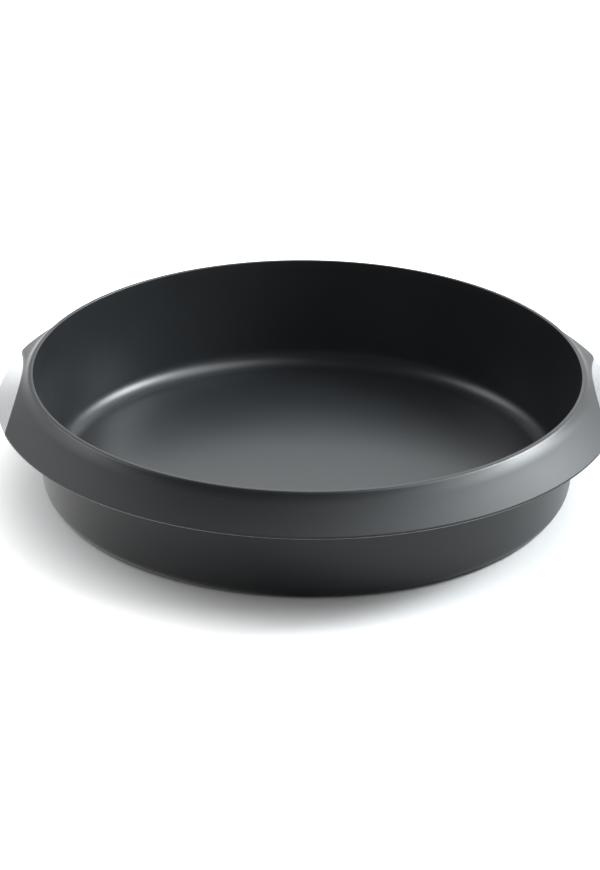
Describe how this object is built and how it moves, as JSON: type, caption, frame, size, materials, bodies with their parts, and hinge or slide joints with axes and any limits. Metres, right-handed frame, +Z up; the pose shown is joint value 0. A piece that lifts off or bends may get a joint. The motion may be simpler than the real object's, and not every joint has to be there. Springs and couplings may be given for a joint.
{
  "type": "baking pan",
  "caption": "Round silicone baking pan with a turned-down conical skirt over a steel support ring, which shows in a grip window at each side.",
  "frame": {"origin": "centre of the underside of the pan's floor, on the surface that the pan stands on", "axes": "+Z up along the pan's axis, +X through the middle of one grip window"},
  "size_m": [0.2874, 0.2882, 0.0559],
  "materials": {
    "silicone": "satin moulded silicone",
    "steel": "satin stainless steel"
  },
  "bodies": {
    "pan": {"silicone_pan": "silicone"},
    "ring": {"support_ring": "steel"}
  },
  "joints": [
    {"name": "ring_slide", "type": "slide", "parent": "pan", "child": "ring", "axis": [0, 0, -1], "range_m": [0, 0.04]}
  ]
}
